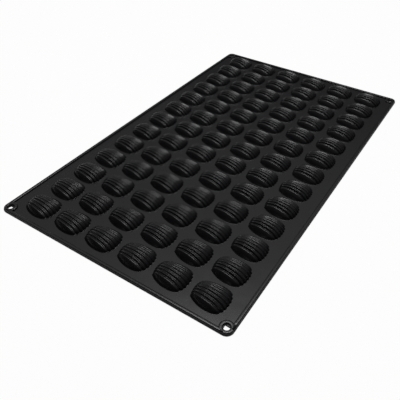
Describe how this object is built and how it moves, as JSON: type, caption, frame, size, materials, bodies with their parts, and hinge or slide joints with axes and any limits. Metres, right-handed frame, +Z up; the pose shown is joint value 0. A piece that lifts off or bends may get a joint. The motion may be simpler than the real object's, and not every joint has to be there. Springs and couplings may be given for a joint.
{
  "type": "madeleine mould",
  "caption": "Flexible rectangular baking sheet mould with rows of fluted shell-shaped cups, a raised bead round the rim and a ringed hanging hole in each corner.",
  "frame": {"origin": "middle of the open face, on the plane the mould lies on with its cups upwards", "axes": "+X along the short side, towards the broad ends of the cups; +Y along the long side; +Z up through the backs of the cups"},
  "size_m": [0.325, 0.53, 0.0138],
  "materials": {
    "silicone": "satin moulded silicone, near black"
  },
  "bodies": {
    "root": {"sheet_front": "silicone", "sheet_back": "silicone", "sheet_row_01": "silicone", "sheet_row_02": "silicone", "sheet_row_03": "silicone", "sheet_row_04": "silicone", "sheet_row_05": "silicone", "sheet_row_06": "silicone", "sheet_row_07": "silicone", "sheet_row_08": "silicone", "sheet_row_09": "silicone", "sheet_row_10": "silicone", "sheet_row_11": "silicone", "sheet_row_12": "silicone", "sheet_row_13": "silicone", "cup_row_01": "silicone", "cup_row_02": "silicone", "cup_row_03": "silicone", "cup_row_04": "silicone", "cup_row_05": "silicone", "cup_row_06": "silicone", "cup_row_07": "silicone", "cup_row_08": "silicone", "cup_row_09": "silicone", "cup_row_10": "silicone", "cup_row_11": "silicone", "cup_row_12": "silicone", "cup_row_13": "silicone", "bead_front": "silicone", "bead_back": "silicone", "bead_left": "silicone", "bead_right": "silicone", "ring_front_left": "silicone", "ring_front_right": "silicone", "ring_back_left": "silicone", "ring_back_right": "silicone"}
  },
  "joints": []
}
